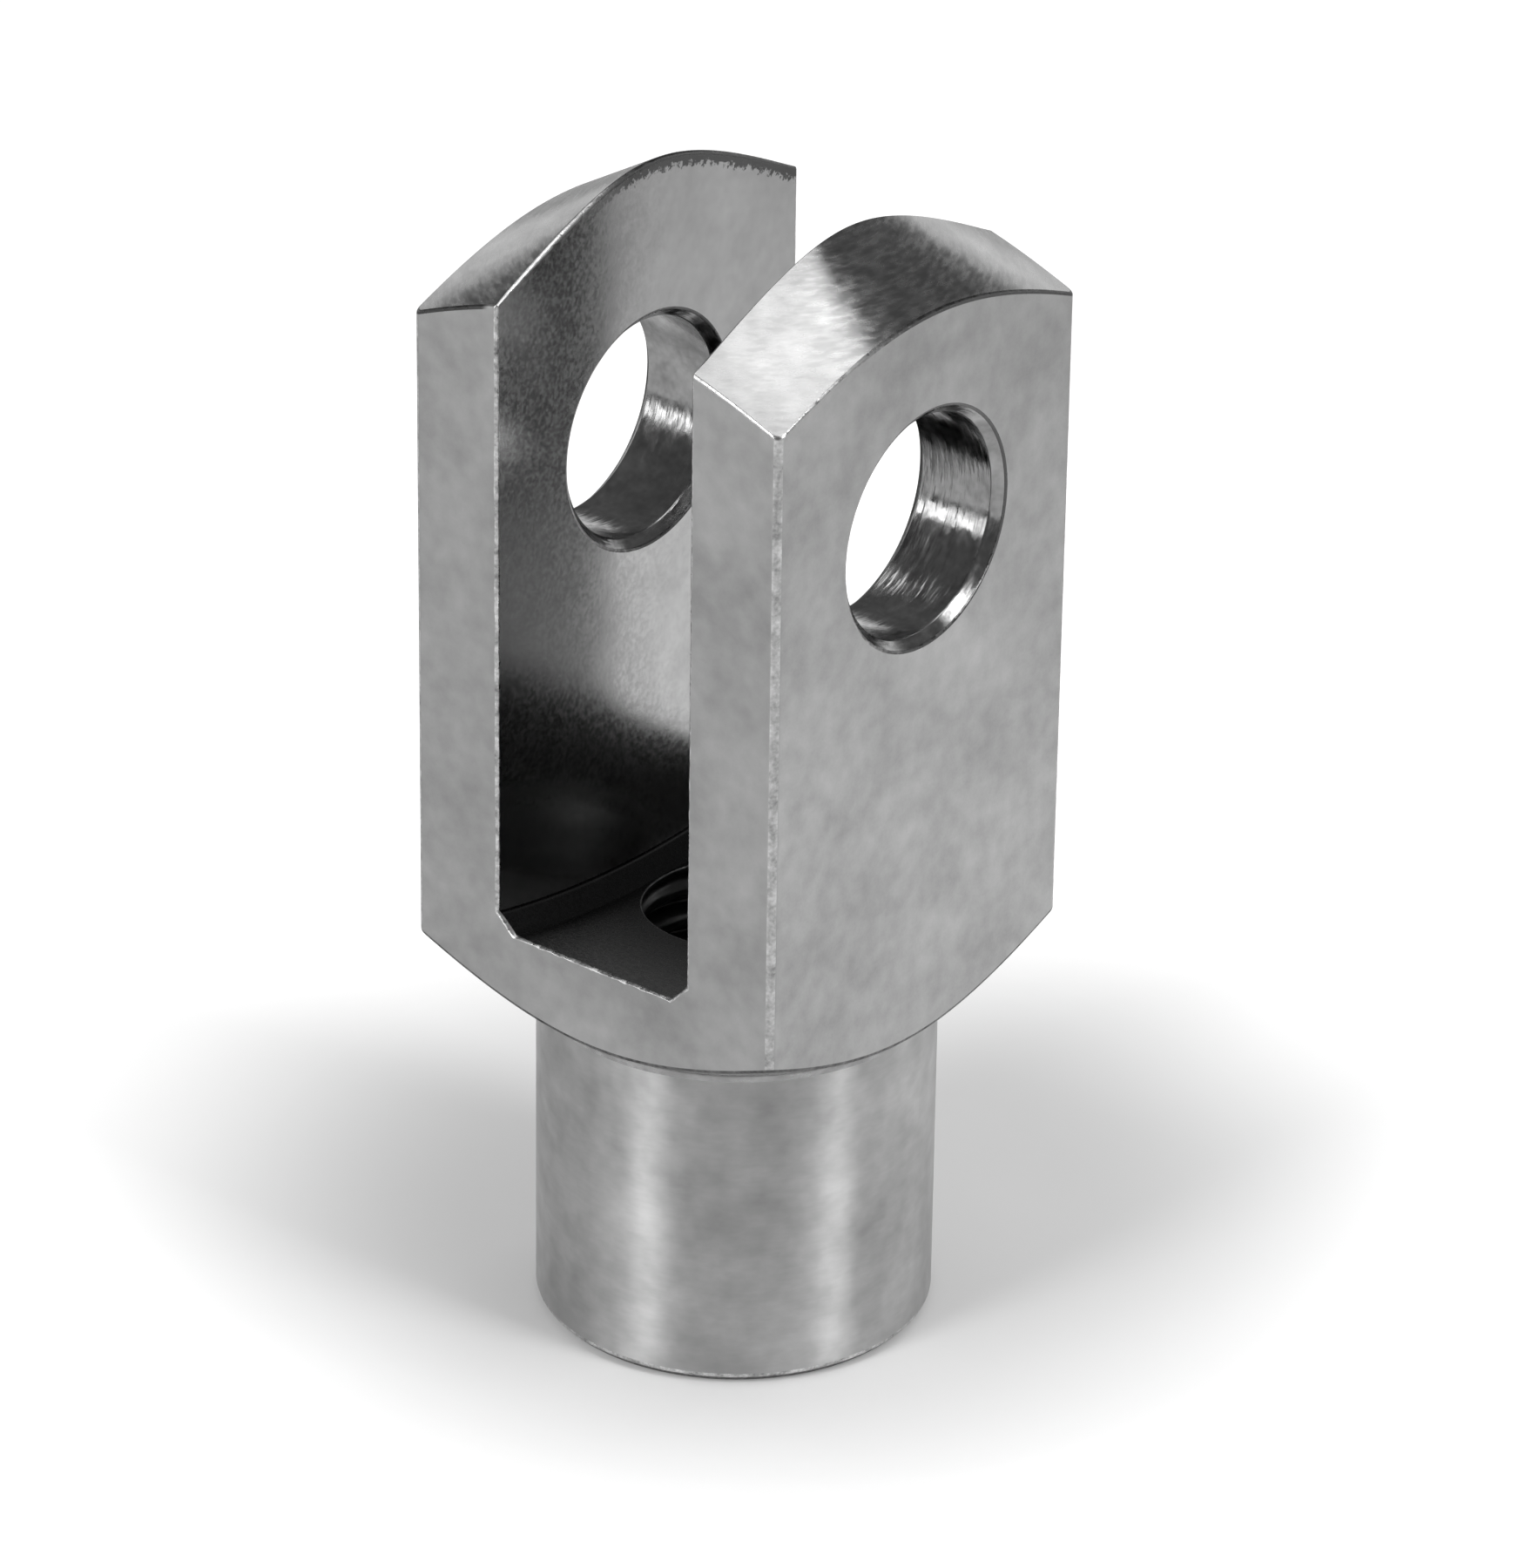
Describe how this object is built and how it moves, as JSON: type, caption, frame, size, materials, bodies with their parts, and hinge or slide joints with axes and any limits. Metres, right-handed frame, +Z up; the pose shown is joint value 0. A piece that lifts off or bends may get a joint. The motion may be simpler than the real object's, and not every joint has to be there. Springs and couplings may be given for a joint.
{
  "type": "fork head clevis",
  "caption": "Steel fork head for a tension rod: two ears with a cross hole for a pin, an open slot between them, and a round neck with a threaded bore along the axis.",
  "frame": {"origin": "centre of the neck's bottom face, on the thread's axis", "axes": "+Z up along the thread's axis from the neck to the tips of the ears, +X along the pin's axis, Y along the open way through the slot"},
  "size_m": [0.02, 0.02, 0.0531],
  "materials": {
    "steel": "bright zinc over machined steel, satin on the flats and the neck, with fine turning and drilling marks"
  },
  "bodies": {
    "root": {"fork_head": "steel"}
  },
  "joints": []
}
